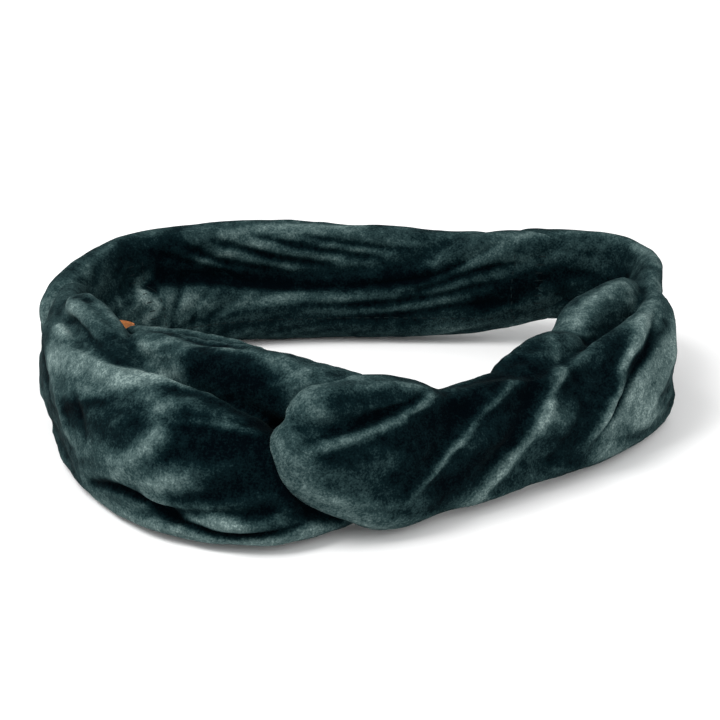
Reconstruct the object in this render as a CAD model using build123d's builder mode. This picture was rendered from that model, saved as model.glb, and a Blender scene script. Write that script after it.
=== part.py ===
"""Knotted velvet headband, in millimetres.

The band is a closed loop that stands on its lower edge. +Z is up, -Y is the front with the knot,
and the origin is under the middle of the loop. Two folded velvet strands hook through each other
at the knot like two links of a chain: the left strand folds from an upper leg to a lower leg, and
the right strand folds from a front leg to a back leg. Their ends are sewn to a velvet casing that
goes round the nape and holds a flat elastic.
"""

import os
from math import cos, radians, sin

from build123d import *

# Heights and thicknesses of the soft pieces
LEFT_HEIGHT = 53.0  # both legs of the left strand, one above the other
RIGHT_HEIGHT = 44.0
CASING_HEIGHT = 43.0
LEFT_THICKNESS = 15.0
LEG_THICKNESS = 8.0  # one leg of the right strand
LEG_SHIFT = 4.6  # from the middle of the band to the middle of a leg
CASING_THICKNESS = 16.0
SWELL = 9.0  # the left strand's legs lie side by side here, so it is thicker towards the inside
SWELL_CENTRE = Vector(-66, -68)
SWELL_REACH = 40.0
WALL_ROUNDING = 3.2
LEG_ROUNDING = 2.4

# Knot: the left strand's fold is an upright post, and the right strand goes round it.
KNOT = Vector(-11.5, -75.5)
KNOT_TURN = 14.0  # direction of the band at the knot, in degrees from +X
KNOT_GAP = 0.6
POST_RADIUS = LEFT_THICKNESS / 2
LOOP_RADIUS = POST_RADIUS + KNOT_GAP + LEG_THICKNESS / 2
WINDOW_REACH = LOOP_RADIUS + LEG_THICKNESS / 2 + KNOT_GAP
WINDOW_BOTTOM = 18.0
WINDOW_TOP = 37.0
OPENING_TURN = 12.0  # how far the right half turns about the post when the band is stretched
OPENING_STEP = 3.0
FLARE_SHARE = 0.16  # share of the right side over which its two legs close up after the post
SLIT_BOTTOM = 27.0  # the slit is between the left strand's two legs
SLIT_HEIGHT = 1.0

# Elastic and its pocket
ELASTIC_WIDTH = 30.0
ELASTIC_THICKNESS = 1.8
POCKET_CLEARANCE = 0.4
SEAM_GAP = 0.35  # between the casing and the end of each strand
ELASTIC_SETBACK = 1.5

# Thread
THREAD_RADIUS = 0.35
THREAD_BITE = 0.2  # how deep a stitch sits in the velvet
STITCH_PITCH = 3.0
JOIN_STITCH = 3.6  # long enough to reach from the strand to the casing
ROW_STITCH = 2.2
SEAM_MARGIN = 6.0  # from the upper and lower edges to the first stitch
ANCHOR_SETBACK = 7.0  # from each join to the row that holds the elastic
LONG_SEAM_LEVEL = 11.0
LONG_SEAM_SETBACK = 6.0

# Folded tab sewn to the inner side of the left strand
LABEL_PIVOT = Vector(-93.2, 4)
LABEL_TURN = 33.0
LABEL_LENGTH = 20.0
LABEL_HEIGHT = 17.0
LABEL_BOTTOM = 17.0
LABEL_SKIN = 0.6
LABEL_FOLD_RADIUS = 0.45
LABEL_SETBACK = 0.5  # from the pivot to the cut ends
LABEL_SEAM_INSET = 3.0

# Middle of the band, seen from above
LEFT_POINTS = [
    (-87, 63),
    (-96, 46),
    (-101, 28),
    (-102, 8),
    (-99.5, -13),
    (-92, -35),
    (-78, -59),
    (-59, -74),
    (-36, -79.5),
    (KNOT.X, KNOT.Y),
]
RIGHT_POINTS = [
    (KNOT.X, KNOT.Y),
    (12, -68),
    (38, -52),
    (62, -33),
    (86, -10),
    (97.5, 7),
    (101, 28),
    (98, 53),
    (87.5, 70),
    (66, 80),
]
NAPE_POINTS = [(66, 80), (42, 83), (9, 84.3), (-26, 83), (-61, 79), (-87, 63)]
LEFT_SEAM_TURN = 237.0  # direction of the band at each join, in degrees from +X
RIGHT_SEAM_TURN = 169.0


def heading(turn):
    """Unit vector in the plan, turned from +X."""
    return Vector(cos(radians(turn)), sin(radians(turn)))


def plan_line(points, start_turn, end_turn):
    """Smooth line through plan points, leaving and arriving in the given directions."""
    return Edge.make_spline([Vector(*p) for p in points], [heading(start_turn), heading(end_turn)])


def beside(line, share, shift):
    """Point beside a line, to its left where shift is positive."""
    forward = line.tangent_at(share)
    return line.position_at(share) + Vector(-forward.Y, forward.X) * shift


def side_points(line, shift, swell=0.0, samples=14):
    """Points along one side of a line, further out where the strand swells."""
    points = []
    for i in range(samples + 1):
        share = i / samples
        away = (line.position_at(share) - SWELL_CENTRE).length / SWELL_REACH
        bulge = max(0.0, 1 - away**2) ** 2
        points.append(beside(line, share, shift + swell * bulge))
    return points


def leg_line(line, side, samples=18):
    """Middle of one leg of the right strand, from the post to the join."""
    points = []
    for i in range(samples + 1):
        share = i / samples
        near = max(0.0, 1 - share / FLARE_SHARE)
        flare = (LOOP_RADIUS - LEG_SHIFT) * near**2 * (3 - 2 * near)
        points.append(beside(line, share, side * (LEG_SHIFT + flare)))
    return Edge.make_spline(points, [line.tangent_at(0), line.tangent_at(1)])


def set_back(line, gap):
    """The same line, shorter by a gap at each end."""
    return line.trim(gap / line.length, 1 - gap / line.length)


def band(line, thickness, shift=0.0, left_swell=0.0, right_swell=0.0):
    """Adds to the sketch the plan of a wall that follows a line."""
    ends = [line.tangent_at(0), line.tangent_at(1)]
    with BuildLine() as outline:
        left_side = Spline(*side_points(line, shift + thickness / 2, left_swell), tangents=ends)
        right_side = Spline(*side_points(line, shift - thickness / 2, right_swell), tangents=ends)
        Line(left_side @ 0, right_side @ 0)
        Line(left_side @ 1, right_side @ 1)
    make_face(outline.edges())


def long_edges(solid, level):
    """The long curved edges of a wall at one height."""
    return solid.edges().filter_by(lambda e: abs(e.center().Z - level) < 0.01 and e.length > 20)


def stitch_levels(height):
    """Heights of a column of stitches across a band of this height."""
    count = int((height - 2 * SEAM_MARGIN) / STITCH_PITCH)
    return [SEAM_MARGIN + STITCH_PITCH * i for i in range(count + 1)]


def stitch_plane(line, share, shift, level):
    """Plane at a stitch, with x along the band and z up."""
    origin = beside(line, share, shift)
    return Plane(Vector(origin.X, origin.Y, level), x_dir=line.tangent_at(share), z_dir=(0, 0, 1))


left_line = plan_line(LEFT_POINTS, LEFT_SEAM_TURN, KNOT_TURN)
right_line = plan_line(RIGHT_POINTS, KNOT_TURN, RIGHT_SEAM_TURN)
nape_line = plan_line(NAPE_POINTS, RIGHT_SEAM_TURN, LEFT_SEAM_TURN)
knot_plane = Plane(KNOT, x_dir=heading(KNOT_TURN), z_dir=(0, 0, 1))

# Left strand: a folded tube whose legs lie one above the other and meet in the post
with BuildPart() as left_strand:
    with BuildSketch():
        band(left_line, LEFT_THICKNESS, left_swell=SWELL)
        with Locations(KNOT):
            Circle(POST_RADIUS)
    extrude(amount=LEFT_HEIGHT)
    fillet(long_edges(left_strand, LEFT_HEIGHT) + long_edges(left_strand, 0), WALL_ROUNDING)
    with BuildSketch(knot_plane.offset(WINDOW_BOTTOM)):
        with Locations((-WINDOW_REACH / 2, 0)):
            Rectangle(WINDOW_REACH, 2 * LEFT_THICKNESS)
        Circle(POST_RADIUS, mode=Mode.SUBTRACT)
    extrude(amount=WINDOW_TOP - WINDOW_BOTTOM, mode=Mode.SUBTRACT)
    with BuildSketch(Plane.XY.offset(SLIT_BOTTOM)):
        band(left_line, 4 * LEFT_THICKNESS)
        with Locations(KNOT):
            Circle(LEFT_THICKNESS, mode=Mode.SUBTRACT)
    extrude(amount=SLIT_HEIGHT, mode=Mode.SUBTRACT)
left_strand.part.label = "left_strand"

# Right strand: a folded tube whose legs lie one in front of the other and go round the post
front_leg = leg_line(right_line, -1)
back_leg = leg_line(right_line, 1)
with BuildPart() as right_strand:
    with BuildSketch(knot_plane):
        Circle(LOOP_RADIUS + LEG_THICKNESS / 2)
        Circle(LOOP_RADIUS - LEG_THICKNESS / 2, mode=Mode.SUBTRACT)
        with Locations((LOOP_RADIUS, 0)):
            Rectangle(2 * LOOP_RADIUS, 4 * LOOP_RADIUS, mode=Mode.SUBTRACT)
    with BuildSketch():
        band(front_leg, LEG_THICKNESS)
        band(back_leg, LEG_THICKNESS)
    extrude(amount=RIGHT_HEIGHT)
    fillet(long_edges(right_strand, RIGHT_HEIGHT) + long_edges(right_strand, 0), LEG_ROUNDING)
    for i in range(int(OPENING_TURN / OPENING_STEP) + 1):
        turned_line = left_line.rotate(Axis(KNOT, (0, 0, 1)), i * OPENING_STEP)
        for level in (WINDOW_BOTTOM + KNOT_GAP - RIGHT_HEIGHT, WINDOW_TOP - KNOT_GAP):
            with BuildSketch(Plane.XY.offset(level)):
                band(turned_line, LEFT_THICKNESS + 2 * KNOT_GAP, left_swell=SWELL)
            extrude(amount=RIGHT_HEIGHT, mode=Mode.SUBTRACT)
right_strand.part.label = "right_strand"

# Nape casing: a tube with a pocket right through it
pocket_height = ELASTIC_WIDTH + 2 * POCKET_CLEARANCE
with BuildPart() as nape_casing:
    with BuildSketch():
        band(set_back(nape_line, SEAM_GAP), CASING_THICKNESS)
    extrude(amount=CASING_HEIGHT)
    fillet(long_edges(nape_casing, CASING_HEIGHT) + long_edges(nape_casing, 0), WALL_ROUNDING)
    with BuildSketch(Plane.XY.offset((CASING_HEIGHT - pocket_height) / 2)):
        band(nape_line, ELASTIC_THICKNESS + 2 * POCKET_CLEARANCE)
    extrude(amount=pocket_height, mode=Mode.SUBTRACT)
nape_casing.part.label = "nape_casing"

# Flat elastic inside the casing
with BuildPart() as nape_elastic:
    with BuildSketch(Plane.XY.offset((CASING_HEIGHT - ELASTIC_WIDTH) / 2)):
        band(set_back(nape_line, ELASTIC_SETBACK), ELASTIC_THICKNESS)
    extrude(amount=ELASTIC_WIDTH)
nape_elastic.part.label = "nape_elastic"

# Stitches that join each strand to the casing, on the face that lies on the head
with BuildPart() as left_join_stitches:
    left_face = LEFT_THICKNESS / 2 + THREAD_RADIUS - THREAD_BITE
    for level in stitch_levels(CASING_HEIGHT):
        with Locations(stitch_plane(left_line, 0, left_face, level)):
            Cylinder(THREAD_RADIUS, JOIN_STITCH, rotation=(0, 90, 0))
left_join_stitches.part.label = "left_join_stitches"

with BuildPart() as right_join_stitches:
    right_face = LEG_SHIFT + LEG_THICKNESS / 2 + THREAD_RADIUS - THREAD_BITE
    right_share = 1 - (JOIN_STITCH / 2) / right_line.length
    for level in stitch_levels(CASING_HEIGHT):
        with Locations(stitch_plane(right_line, right_share, right_face, level)):
            Cylinder(THREAD_RADIUS, JOIN_STITCH, rotation=(0, 90, 0))
right_join_stitches.part.label = "right_join_stitches"


def anchor_row(share):
    """Column of upright stitches on the casing, through the elastic's end."""
    casing_face = CASING_THICKNESS / 2 + THREAD_RADIUS - THREAD_BITE
    with BuildPart() as row:
        for level in stitch_levels(CASING_HEIGHT):
            with Locations(stitch_plane(nape_line, share, casing_face, level)):
                Cylinder(THREAD_RADIUS, ROW_STITCH)
    return row


# Rows that hold the two ends of the elastic
anchor_share = ANCHOR_SETBACK / nape_line.length
right_anchor_stitches = anchor_row(anchor_share)
right_anchor_stitches.part.label = "right_anchor_stitches"
left_anchor_stitches = anchor_row(1 - anchor_share)
left_anchor_stitches.part.label = "left_anchor_stitches"


def long_seam(line, half_thickness, swell=0.0):
    """Closing seam of a tube, one thread along the face that lies on the head."""
    face = half_thickness + THREAD_RADIUS - THREAD_BITE
    with BuildPart() as seam:
        with BuildSketch(Plane.XY.offset(LONG_SEAM_LEVEL)):
            band(line, 2 * THREAD_RADIUS, face, left_swell=swell, right_swell=swell)
        extrude(amount=2 * THREAD_RADIUS)
    return seam


left_long_seam = long_seam(set_back(left_line, 2 * LOOP_RADIUS), LEFT_THICKNESS / 2, SWELL)
left_long_seam.part.label = "left_long_seam"
right_long_seam = long_seam(set_back(back_leg, LONG_SEAM_SETBACK), LEG_THICKNESS / 2)
right_long_seam.part.label = "right_long_seam"
casing_long_seam = long_seam(set_back(nape_line, 2 * ANCHOR_SETBACK), CASING_THICKNESS / 2)
casing_long_seam.part.label = "casing_long_seam"

# Label: a strip folded in two, with its cut ends at the pivot
label_plane = Plane(LABEL_PIVOT, x_dir=heading(LABEL_TURN), z_dir=(0, 0, 1))
fold_x = LABEL_LENGTH - LABEL_FOLD_RADIUS
with BuildPart() as label:
    with BuildSketch(label_plane.offset(LABEL_BOTTOM)):
        with Locations((fold_x, 0)):
            Circle(LABEL_FOLD_RADIUS + LABEL_SKIN)
        with Locations(((LABEL_SETBACK + fold_x) / 2, 0)):
            Rectangle(fold_x - LABEL_SETBACK, 2 * (LABEL_FOLD_RADIUS + LABEL_SKIN))
            Rectangle(fold_x - LABEL_SETBACK, 2 * LABEL_FOLD_RADIUS, mode=Mode.SUBTRACT)
        with Locations((fold_x, 0)):
            Circle(LABEL_FOLD_RADIUS, mode=Mode.SUBTRACT)
    extrude(amount=LABEL_HEIGHT)
label.part.label = "label"

with BuildPart() as label_stitches:
    skin_face = LABEL_FOLD_RADIUS + LABEL_SKIN + THREAD_RADIUS - THREAD_BITE
    for i in range(int(LABEL_HEIGHT / STITCH_PITCH)):
        level = LABEL_BOTTOM + STITCH_PITCH * (i + 0.7)
        with Locations(label_plane.offset(level)):
            with Locations((LABEL_SEAM_INSET, skin_face), (LABEL_SEAM_INSET, -skin_face)):
                Cylinder(THREAD_RADIUS, ROW_STITCH)
label_stitches.part.label = "label_stitches"

os.makedirs("parts", exist_ok=True)
for piece in (
    left_strand,
    right_strand,
    nape_casing,
    nape_elastic,
    left_join_stitches,
    right_join_stitches,
    left_anchor_stitches,
    right_anchor_stitches,
    left_long_seam,
    right_long_seam,
    casing_long_seam,
    label,
    label_stitches,
):
    export_step(piece.part, f"parts/{piece.part.label}.step")
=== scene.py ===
"""Looks of a knotted velvet headband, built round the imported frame.

Each velvet piece is a bundle of long rolls fused into one skin, relaxed as cloth, and then folded
along lines that are given on the band's own surface: the distance along the band from a guide
line's start, and the height. Sizes are in millimetres until a mesh is made, and then in metres.
"""

from math import cos, pi, radians, sin

import bpy
import numpy as np
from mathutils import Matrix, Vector, noise
from mathutils.bvhtree import BVHTree


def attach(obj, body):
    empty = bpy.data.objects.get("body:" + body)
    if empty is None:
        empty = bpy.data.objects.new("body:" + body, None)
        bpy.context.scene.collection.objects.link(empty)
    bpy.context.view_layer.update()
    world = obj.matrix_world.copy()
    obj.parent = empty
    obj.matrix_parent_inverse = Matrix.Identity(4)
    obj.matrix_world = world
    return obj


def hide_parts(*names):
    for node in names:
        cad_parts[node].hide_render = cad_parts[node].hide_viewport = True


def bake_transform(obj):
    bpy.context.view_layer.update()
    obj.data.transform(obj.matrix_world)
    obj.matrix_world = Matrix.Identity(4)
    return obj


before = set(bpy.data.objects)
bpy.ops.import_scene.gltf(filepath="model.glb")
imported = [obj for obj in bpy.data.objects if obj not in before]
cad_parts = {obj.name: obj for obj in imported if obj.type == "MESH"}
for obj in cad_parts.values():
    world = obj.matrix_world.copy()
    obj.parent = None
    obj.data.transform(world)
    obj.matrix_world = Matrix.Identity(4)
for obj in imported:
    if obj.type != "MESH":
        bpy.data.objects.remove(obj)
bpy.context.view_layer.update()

MM = 0.001

# Rolls
RING_SPACING = 1.6  # mm
VOXEL = 1.6  # mm
CURVE_STEPS = 24  # between two points of a curve
SECTION_POINTS = 40
SECTION_POWER = 0.86  # 1 is an ellipse, and less is a more square oval
CLIMB_SHARE = 0.25  # of a roll's climb that its sections turn with
END_RADIUS = 0.9  # of the mean of half thickness and half height
SMALLEST_END = 0.01  # square of the last ring's size, as a share

# Places on the band, in mm
GUIDE_SPACING = 1.0
SIDE_OVERLAP = 1  # how far a side's folds reach past the guide
SIDE_BLEND = 4  # from no fold to a full one
CHUNK = 20000  # vertices handled at a time

# Folds
FOLD_SPACING = 1.2  # mm
FOLD_REACH = 3  # half widths
FOLD_FADE = 0.22  # of a fold's length, at each end
FADE_POWER = 0.7
FOLD_END = 0.15  # of a fold's rise, left at its ends
RIDGE_POWER = 2
CREASE_POWER = 1.35  # a crease is sharper than a ridge

# Crumples: length along the band and size across it in mm, and slant
PLEATS = (34, 5.5, 0.18)
WRINKLES = (12, 2.8, 0.3)
CRUSHED_PATCHES = (22, 7, 0.4)
PLEAT_RISE = 0.55  # mm
WRINKLE_RISE = 0.35  # mm
CRUMPLE_DEPTH = 14  # mm through the band
CRUMPLE_SPREAD = 0.6  # how much further up a crumple's pattern is, away from the guide
WRINKLE_SEED = 40
PATCH_SEED = 80

# Strokes
STROKE_SPACING = 1.5  # mm
STROKE_REACH = 2.5  # half widths

# How much lighter or darker the pile's colour is painted: painted shade for 1 mm of hollow, painted
# highlight or shade for 1 mm of fold rise or sink, pile tone for a full crushed patch, and an offset
# everywhere
FINE_HOLLOW_PAINTED_SHADE = -1.8
BROAD_HOLLOW_PAINTED_SHADE = -0.5
FOLD_PAINTED_LIGHT_AND_SHADE = 0.3
PATCH_LEAN = 0.4
BASE_LEAN = -0.12
TONE_AND_SHADE_SWING = 0.45  # from 0.5, the mid tone that is painted neither lighter nor darker

# Floor, in mm
FLOOR_NEAR = 1.2  # what is lower than this is pressed flat
FLOOR_GAP = 0.15

# Hollows for the painted shade, in rounds of averaging over neighbours
FINE_ROUNDS = 3
BROAD_ROUNDS = 14

# Threads: lengths in mm, but for the search, which is in metres
THREAD_RADIUS = 0.3
THREAD_SIDES = 8
THREAD_STEPS = 9
THREAD_TAPER = 0.9  # share of its area that is lost at its ends
TAPER_POWER = 8
THREAD_DEPTH = 0.2
THREAD_END_DEPTH = 0.35  # added to the depth at its ends
END_POWER = 4
STEEP_LINE = (0.31, 0.17, 0.93)  # no thread runs this way
SEAM_GUIDE_SPACING = 0.5
SEAM_LEVEL = 11.35
SEAM_STITCH = 3.0
SEAM_PITCH = 3.7
LEFT_SEAM_RANGE = (25, 222)
RIGHT_SEAM_RANGE = (20, 222)
CASING_SEAM_RANGE = (14, 144)
SEARCH_START = 0.03

# Elastic and label, in mm and degrees, as the CAD parts have them
ELASTIC_WIDTH = 30
ELASTIC_THICKNESS = 1.8
ELASTIC_BOTTOM = 6.5
ELASTIC_SETBACK = 1.5
LABEL_PIVOT = (-93.2, 4)
LABEL_TURN = 33
LABEL_LENGTH = 20.6
LABEL_START = 0.5
LABEL_HEIGHT = 17
LABEL_BOTTOM = 17
LABEL_GAP = 0.9
LABEL_SKIN = 0.6
LABEL_SEAM_INSET = 3.0
LABEL_STITCH = 2.2
LABEL_STITCH_PITCH = 3.0

# Elastic and label, as they hang in the band: lengths in mm
ELASTIC_SPACING = 2.0
ELASTIC_CORDS = 15
CORD_POINTS = 6
CORD_GROOVE = 0.25
ELASTIC_INSET = 1.2
ELASTIC_LIFT = 5
ELASTIC_LIFT_REACH = 45
ELASTIC_LIFT_POWER = 0.7
LABEL_STITCH_MARGIN = 2.1  # from the label's edge to the middle of its first stitch
LABEL_STITCH_LIFT = 0.2
LABEL_STITCH_DIP = 0.6
LABEL_STEPS = 24
LABEL_FOLD_STEPS = 13
LABEL_ROWS = 18
LABEL_ROUNDING = 0.15
LABEL_CURL = 0.5
LABEL_SAG = 3.4
SAG_POWER = 4
LABEL_BEND = 3
BEND_POWER = 2

# Middle of the band in plan, in mm, as the CAD parts have it
KNOT = (-11.5, -75.5)
LEFT_GUIDE = [
    KNOT,
    (-36, -79.5),
    (-59, -74),
    (-78, -59),
    (-92, -35),
    (-99.5, -13),
    (-102, 8),
    (-101, 28),
    (-96, 46),
    (-87, 63),
]
RIGHT_GUIDE = [
    KNOT,
    (12, -68),
    (38, -52),
    (62, -33),
    (86, -10),
    (97.5, 7),
    (101, 28),
    (98, 53),
    (87.5, 70),
    (66, 80),
]
NAPE_GUIDE = [(66, 80), (42, 83), (9, 84.3), (-26, 83), (-61, 79), (-87, 63)]

# Rolls: stations of x, y, z, half thickness, half height, and the top's lean inwards in degrees
LEFT_ROLLS = {
    "lower_leg": [
        (-2, -72, 14, 7, 10, 0),
        (-16, -75, 15.5, 9, 14, 4),
        (-28, -77, 17, 11, 15.5, 8),
        (-42, -75, 19.5, 12, 19.5, 12),
        (-55, -70, 21.5, 11.5, 20.5, 12),
        (-68, -58, 22, 11, 21, 10),
        (-81, -41, 22.5, 9, 22, 8),
        (-90.5, -19, 22.5, 8, 22, 6),
        (-98.5, 6, 21.5, 8, 20.5, 0),
        (-100.5, 28, 21, 7.5, 19.5, 0),
        (-97, 46, 20, 6, 15, 0),
        (-89, 63, 20, 5, 12.5, 0),
        (-79, 74, 20.5, 4.5, 10, 0),
    ],
    "rim": [
        (-100, 12, 8, 6, 6, 0),
        (-95.5, -8, 7, 6, 6.5, 0),
        (-89, -29.5, 6.5, 6, 6, 0),
        (-78, -51, 6.5, 6, 6, 0),
        (-62, -70, 6.5, 6.5, 6, 0),
        (-46, -81.5, 6.5, 6.5, 6, 0),
        (-28, -85, 6.5, 6.5, 6, 0),
        (-12, -76.5, 6.5, 6, 5.5, 0),
        (3, -66, 7, 4.5, 5, 0),
    ],
    "shoulder": [
        (-62, -57, 30, 7, 10, 10),
        (-70, -47, 33.5, 8.5, 10, 12),
        (-77.5, -32, 37.5, 8.5, 11.5, 12),
        (-83.5, -18, 40.3, 8, 11.5, 8),
        (-90, -6, 38.3, 7, 12, 4),
        (-97.5, 6, 30, 6, 11, 0),
    ],
    "upper_leg": [
        (6, -66, 36, 6, 8, 0),
        (-7, -67, 39, 8, 9.5, 0),
        (-20, -63, 41, 9, 10.5, 8),
        (-34, -56, 41, 9, 11, 12),
        (-48, -48, 40.5, 8.5, 11, 14),
        (-61, -38, 39.5, 8, 11.5, 12),
        (-70, -28, 36, 7, 10, 8),
    ],
    "upper_back_layer": [
        (-24, -54, 40, 4.5, 9.5, 8),
        (-38, -43, 39.5, 4.5, 9, 8),
        (-52, -32, 39, 4.5, 8.5, 8),
        (-66, -20, 36, 4.5, 8.5, 6),
        (-75, -9, 31, 4.5, 8, 4),
    ],
    "fold_post": [
        (-26, -74, 12, 7, 8, 0),
        (-12, -74, 13, 7.5, 8, 0),
        (-3, -72.5, 18, 7, 8, 0),
        (-1, -71, 25, 7, 8, 0),
        (-3, -69.5, 33, 7, 8, 0),
        (-12, -68, 38, 7.5, 8, 0),
        (-26, -64, 40, 7, 8, 0),
    ],
}
RIGHT_ROLLS = {
    "front_leg": [
        (-24, -80, 33, 6, 8, 0),
        (-11.5, -79, 27, 9.5, 14, 4),
        (1, -75, 23, 11.5, 17.5, 8),
        (10, -70.5, 20.8, 12.5, 20, 9),
        (22, -62, 20, 11, 17.8, 10),
        (37, -53, 20.5, 10.5, 18.5, 12),
        (54.5, -40, 20, 10, 18.5, 12),
        (71.5, -27.5, 20, 9, 18.5, 10),
        (88.5, -10, 20.5, 8.5, 19.5, 6),
        (99.5, 9, 21.5, 7, 20.5, 8),
        (97.5, 24, 22, 6, 20.5, -4),
        (96.5, 40, 24, 6, 21.5, -18),
        (101, 57, 24.8, 6.5, 18.7, -9),
        (91, 74, 26.5, 7.5, 17.5, 0),
        (66, 80.5, 26, 8.5, 17.5, 0),
        (52, 82, 26, 7.5, 16, 0),
    ],
    "inner_wall": [
        (60, -26, 16, 6, 14, 0),
        (76, -8, 18, 6, 16, 0),
        (88, 14, 19, 6, 17, 0),
        (92, 36, 20, 6, 17, 0),
        (91, 52, 20, 5, 12, 0),
        (94, 64, 20, 3.5, 8, 0),
    ],
    "bend_top": [
        (-17.5, -79, 32, 6.5, 8.5, 0),
        (-10, -75, 36.5, 9, 10.5, 4),
        (0, -69, 37.5, 10, 10.5, 6),
        (14, -63, 35, 10, 10, 6),
        (27, -56, 26, 8, 8.5, 4),
        (40, -46, 23, 7, 8, 0),
    ],
    "small_lobe": [
        (44, -42, 25, 10, 12, 4),
        (52, -32, 29.5, 9.5, 12, 6),
        (60, -21, 30.5, 9, 12, 6),
        (68, -9, 27, 8, 11, 0),
    ],
    "tall_lobe": [
        (64, -12, 22, 7, 10.5, 0),
        (69, -2, 28.5, 8.5, 12, 4),
        (75, 8, 31.5, 9.5, 13.5, 4),
        (84, 18, 32.5, 9, 13, 0),
        (89, 30, 29, 7, 12, 0),
        (89, 44, 23, 5.5, 10, 0),
    ],
}
NAPE_ROLLS = {
    "upper_roll": [
        (64, 83, 29, 6, 9, 0),
        (45, 86.5, 31.5, 7, 9.5, 0),
        (25, 88, 31, 8, 10.5, 0),
        (5, 88, 31.5, 9, 11, 0),
        (-20, 87, 33, 9, 11, 0),
        (-45, 84.5, 33.5, 9, 11, 0),
        (-67, 80, 33.2, 9, 11, 0),
        (-84, 70, 32.8, 8, 11.5, 0),
        (-94.5, 54, 31, 8, 12.5, 0),
        (-101.5, 37, 29.5, 7.5, 12, 0),
        (-105.5, 20, 27, 5, 10, 0),
    ],
    "lower_roll": [
        (88, 77, 26, 4, 12, 0),
        (71, 79.5, 26.5, 7.5, 16.5, 0),
        (50, 80.5, 24.5, 9.5, 19, 0),
        (35, 81.5, 20, 9.5, 17.5, 0),
        (15, 82, 15.5, 9.5, 14, 0),
        (-10, 82, 14.5, 9.5, 12.5, 0),
        (-35, 80.5, 14, 9.5, 12, 0),
        (-58, 74.5, 14, 9, 12, 0),
        (-75, 63.5, 13.5, 8.5, 13, 0),
        (-88, 52, 16, 7.5, 13, 0),
        (-96, 38, 16, 5.5, 11, 0),
    ],
}

# Folds: side of the band, points as distance along the guide and height, half width, rise in mm.
# A fold on the top has no side, and its points are places.
OUTSIDE = 1
INSIDE = -1
ON_TOP = 0
LEFT_FOLDS = [
    (ON_TOP, [(-99, -8, 40), (-92, -24, 44), (-82, -41, 44), (-74, -50, 44), (-62, -54, 41)], 2.0, 1.6),
    (ON_TOP, [(-96, -8, 42), (-90, -20, 45), (-83, -36, 45), (-75, -48, 45), (-66, -50, 44)], 1.7, -1.9),
    (ON_TOP, [(-92, -4, 46), (-86, -14, 52), (-81, -26, 51), (-76, -34, 48)], 1.5, -0.8),
    (ON_TOP, [(-95, 0, 44), (-89, -9, 50), (-84, -22, 51)], 1.3, -0.5),
    (ON_TOP, [(-67, -54, 43), (-57, -62, 43), (-47, -67, 41), (-35, -72, 34), (-25, -76, 30)], 2.2, 1.3),
    (ON_TOP, [(-66, -34, 50), (-56, -41, 51), (-44, -50, 51), (-32, -58, 52)], 1.8, -1.8),
    (ON_TOP, [(-70, -42, 40), (-58, -48, 46), (-44, -57, 46), (-28, -66, 45), (-14, -72, 42)], 2.2, -1.6),
    (OUTSIDE, [(16, 34), (24, 37), (32, 39), (40, 43)], 1.6, 1.2),
    (OUTSIDE, [(20, 40), (30, 44), (38, 48)], 1.8, -1.2),
    (OUTSIDE, [(80, 34), (70, 37), (60, 41), (50, 44), (40, 44)], 1.8, -2.0),
    (OUTSIDE, [(64, 31), (55, 38), (46, 42)], 2.2, 0.9),
    (OUTSIDE, [(62, 17), (54, 24), (47, 31), (40, 38)], 3.4, 1.3),
    (OUTSIDE, [(52, 16), (42, 21), (32, 25), (22, 29)], 4.0, 1.1),
    (OUTSIDE, [(46, 27), (34, 31), (22, 33)], 3.0, -0.9),
    (OUTSIDE, [(50, 41), (43, 36.5), (35, 36.5), (27, 35.5), (21, 33.5), (15, 31)], 1.3, -1.4),
    (OUTSIDE, [(52, 43), (43, 38.5), (35, 38.5), (27, 37.7), (20, 35.8), (14, 33.5)], 1.5, 0.9),
    (OUTSIDE, [(44, 15), (32, 17), (20, 22)], 2.4, -0.8),
    (OUTSIDE, [(76, 8), (63, 12), (51, 11.5), (38, 8), (27, 6), (14, 8), (4, 10)], 1.6, -3.4),
    (OUTSIDE, [(13, 30), (11, 24), (8, 17), (4, 12), (-1, 9), (-8, 7)], 2.2, -3.0),
    (OUTSIDE, [(34, 13), (24, 10), (15, 12), (8, 17)], 2.2, 1.0),
    (OUTSIDE, [(112, 40), (96, 37), (84, 31), (74, 22)], 2.6, -1.4),
    (OUTSIDE, [(120, 30), (102, 28), (88, 20), (80, 13)], 3.2, 1.2),
    (OUTSIDE, [(190, 40), (160, 36), (130, 26), (100, 12)], 3.0, -1.2),
    (OUTSIDE, [(195, 26), (170, 24), (145, 16), (120, 8)], 3.4, 1.1),
    (OUTSIDE, [(198, 14), (176, 11), (152, 7)], 2.4, -1.0),
    (INSIDE, [(200, 36), (180, 31), (160, 30), (135, 34)], 2.6, -1.6),
    (INSIDE, [(202, 20), (185, 17), (160, 18), (130, 14)], 3.0, -1.5),
    (INSIDE, [(60, 34), (80, 30), (105, 24), (130, 24)], 3.0, -1.5),
    (INSIDE, [(30, 28), (50, 27), (75, 18), (110, 12)], 2.6, -1.6),
]
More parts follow.
